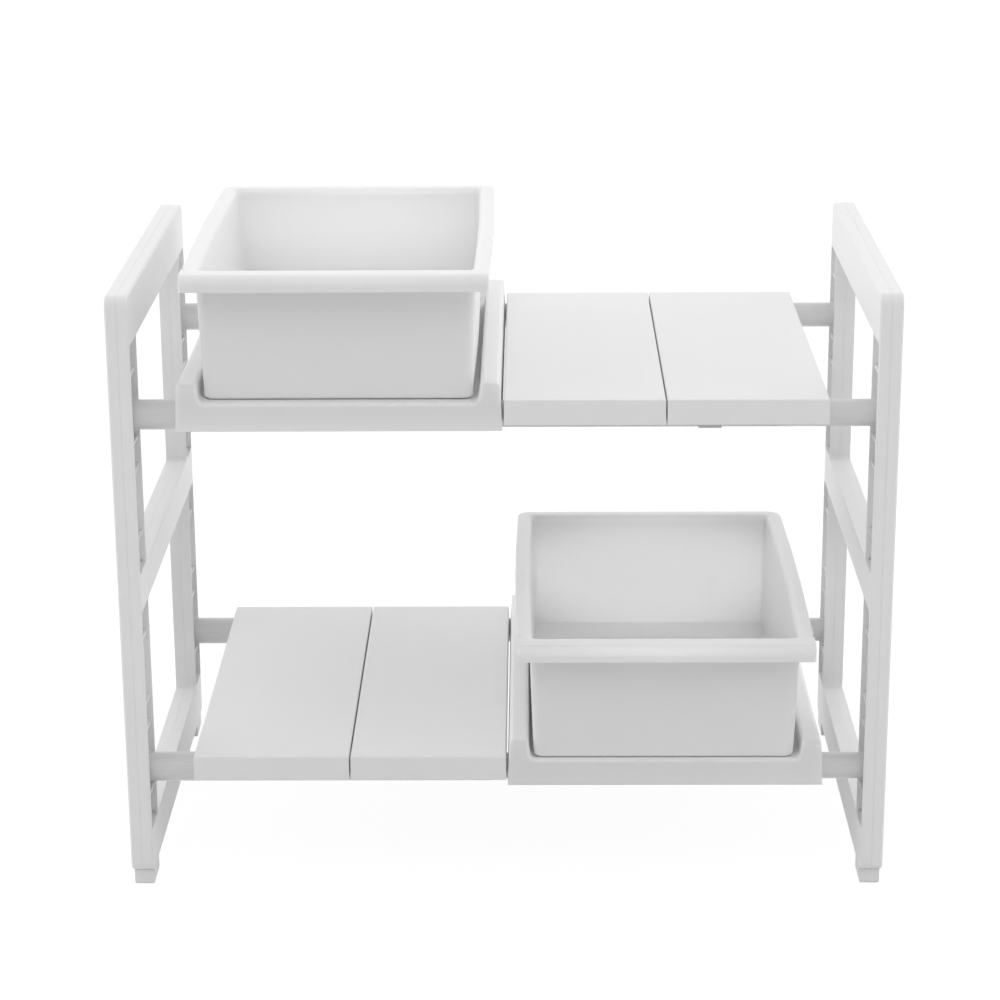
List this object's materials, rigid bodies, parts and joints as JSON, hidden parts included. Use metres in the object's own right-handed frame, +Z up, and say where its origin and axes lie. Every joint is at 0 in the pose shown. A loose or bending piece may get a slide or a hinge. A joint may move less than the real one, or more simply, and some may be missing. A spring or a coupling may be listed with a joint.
{
  "type": "cabinet organizer with drawers",
  "caption": "Two-tier white cabinet organizer: end frames joined by telescoping tubes, lift-off shelf panels, and a pull-out drawer on a tray at each tier.",
  "frame": {"origin": "on the floor under the middle of the outer box, at the lowest point of the feet", "axes": "+X along the tubes towards the sliding end frame, -Y the front that the drawers pull out of, +Z up"},
  "size_m": [0.472, 0.2912, 0.397],
  "materials": {
    "frame_plastic": "fine satin white",
    "foot_plastic": "satin white",
    "tube_metal": "smooth light grey coat",
    "clip_plastic": "satin light grey",
    "panel_plastic": "satin white",
    "tray_plastic": "satin white",
    "drawer_plastic": "satin white"
  },
  "bodies": {
    "left_end": {"left_frame_outer": "frame_plastic", "left_frame_inner": "frame_plastic", "left_front_foot": "foot_plastic", "left_rear_foot": "foot_plastic", "thick_tube_upper_front": "tube_metal", "thick_tube_upper_rear": "tube_metal", "thick_tube_lower_front": "tube_metal", "thick_tube_lower_rear": "tube_metal", "level_clip_upper_front": "clip_plastic", "level_clip_upper_rear": "clip_plastic", "level_clip_lower_front": "clip_plastic", "level_clip_lower_rear": "clip_plastic", "upper_panel_inner": "panel_plastic", "upper_panel_outer": "panel_plastic", "lower_panel_inner": "panel_plastic", "lower_panel_outer": "panel_plastic", "upper_tray": "tray_plastic", "lower_tray": "tray_plastic"},
    "right_end": {"right_frame_outer": "frame_plastic", "right_frame_inner": "frame_plastic", "right_front_foot": "foot_plastic", "right_rear_foot": "foot_plastic", "thin_tube_upper_front": "tube_metal", "thin_tube_upper_rear": "tube_metal", "thin_tube_lower_front": "tube_metal", "thin_tube_lower_rear": "tube_metal"},
    "upper_drawer_body": {"upper_drawer": "drawer_plastic"},
    "lower_drawer_body": {"lower_drawer": "drawer_plastic"}
  },
  "joints": [
    {"name": "width_telescope", "type": "slide", "parent": "left_end", "child": "right_end", "axis": [1, 0, 0], "range_m": [-0.025, 0.135]},
    {"name": "upper_drawer_slide", "type": "slide", "parent": "left_end", "child": "upper_drawer_body", "axis": [0, -1, 0], "range_m": [-0.018, 0.12]},
    {"name": "lower_drawer_slide", "type": "slide", "parent": "left_end", "child": "lower_drawer_body", "axis": [0, -1, 0], "range_m": [-0.024, 0.114]}
  ]
}
